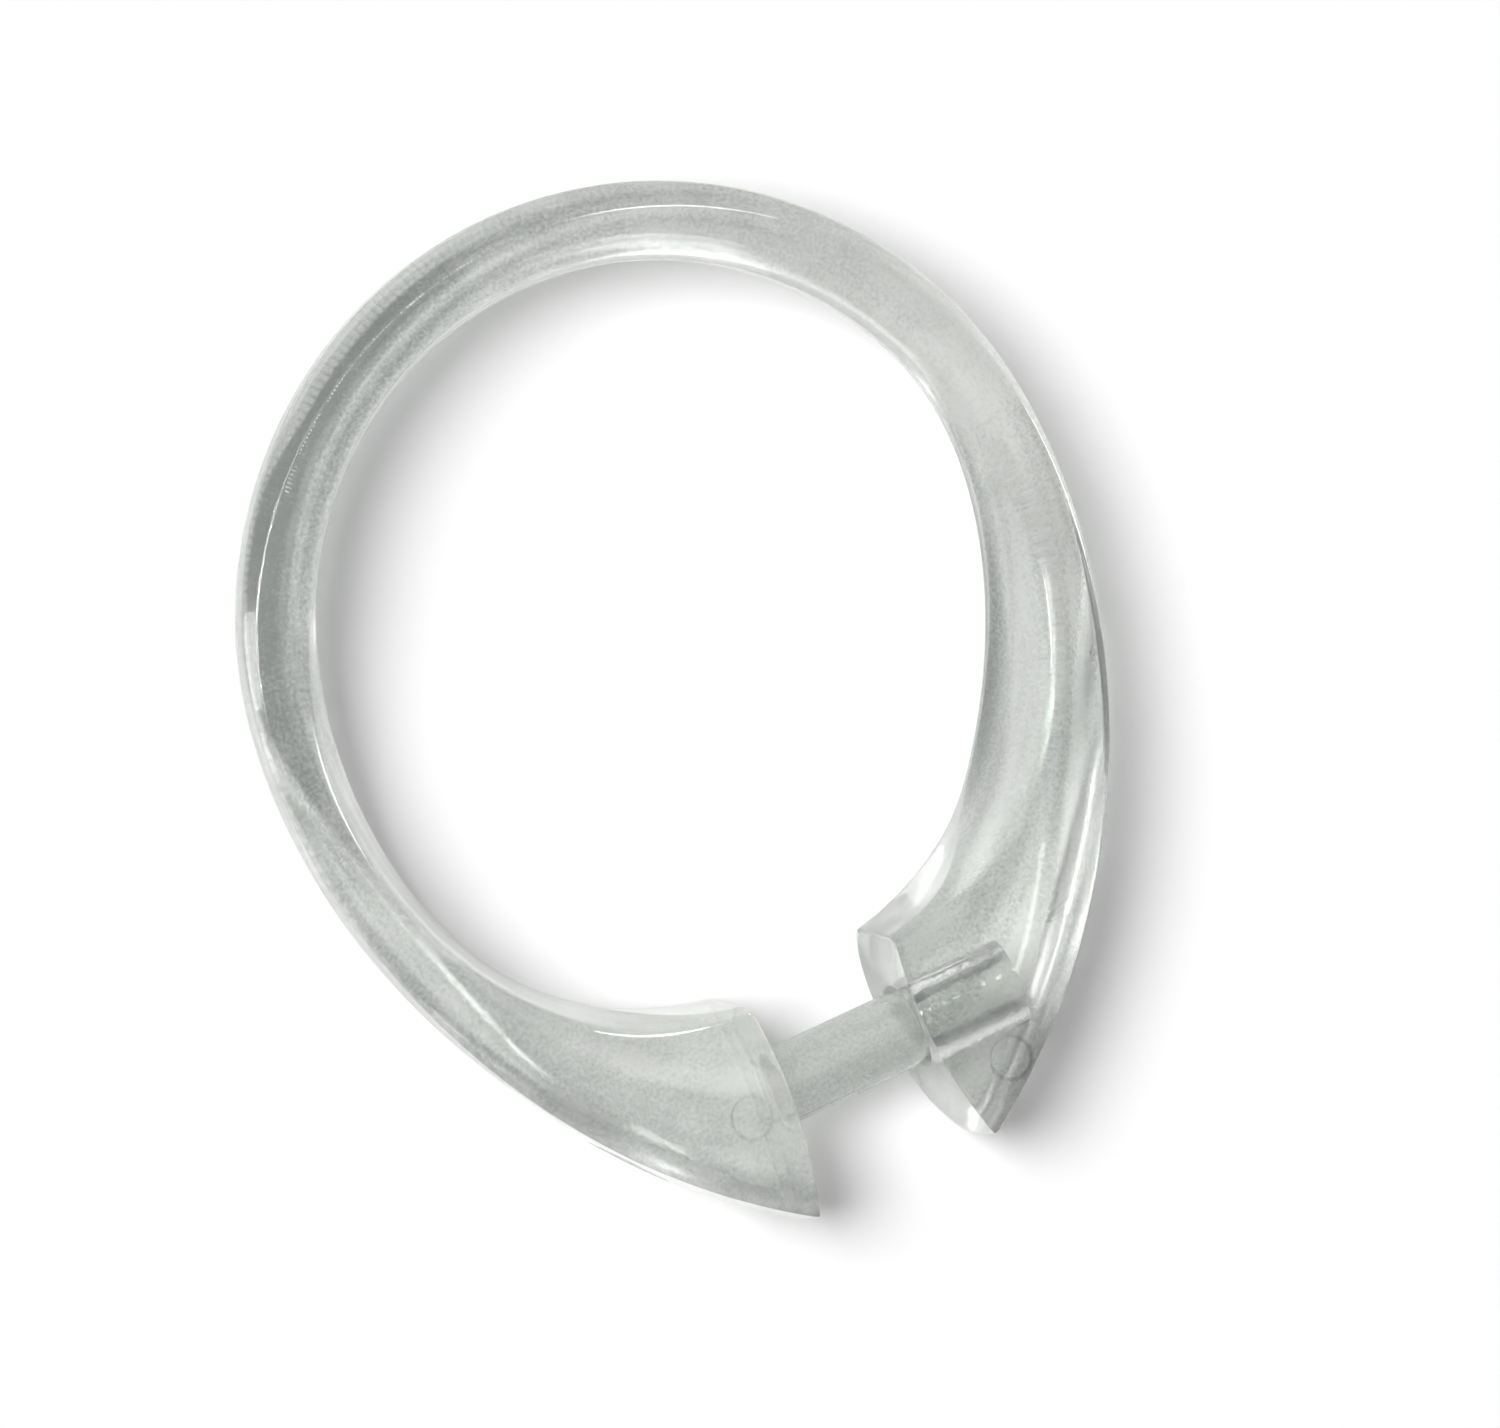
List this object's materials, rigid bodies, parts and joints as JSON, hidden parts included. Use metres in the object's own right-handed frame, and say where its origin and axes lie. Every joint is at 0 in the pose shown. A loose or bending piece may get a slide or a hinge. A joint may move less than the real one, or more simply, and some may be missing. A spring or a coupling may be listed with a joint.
{
  "type": "shower curtain hook",
  "caption": "One-piece plastic curtain ring: a round band opening into two thick heads, with a round peg on one head that snaps into a blind socket in the other.",
  "frame": {"origin": "on the axis of the round band, level with the flat backs of the heads, on which the ring lies", "axes": "+X from the peg head towards the socket head, +Y from the heads up to the top of the band, +Z from the back of the ring to its flat front"},
  "size_m": [0.061, 0.0726, 0.0092],
  "materials": {
    "clear_plastic": "clear, slightly grey-green moulded polystyrene, glossy with a faint pebbled skin"
  },
  "bodies": {
    "root": {"curtain_ring": "clear_plastic"}
  },
  "joints": []
}
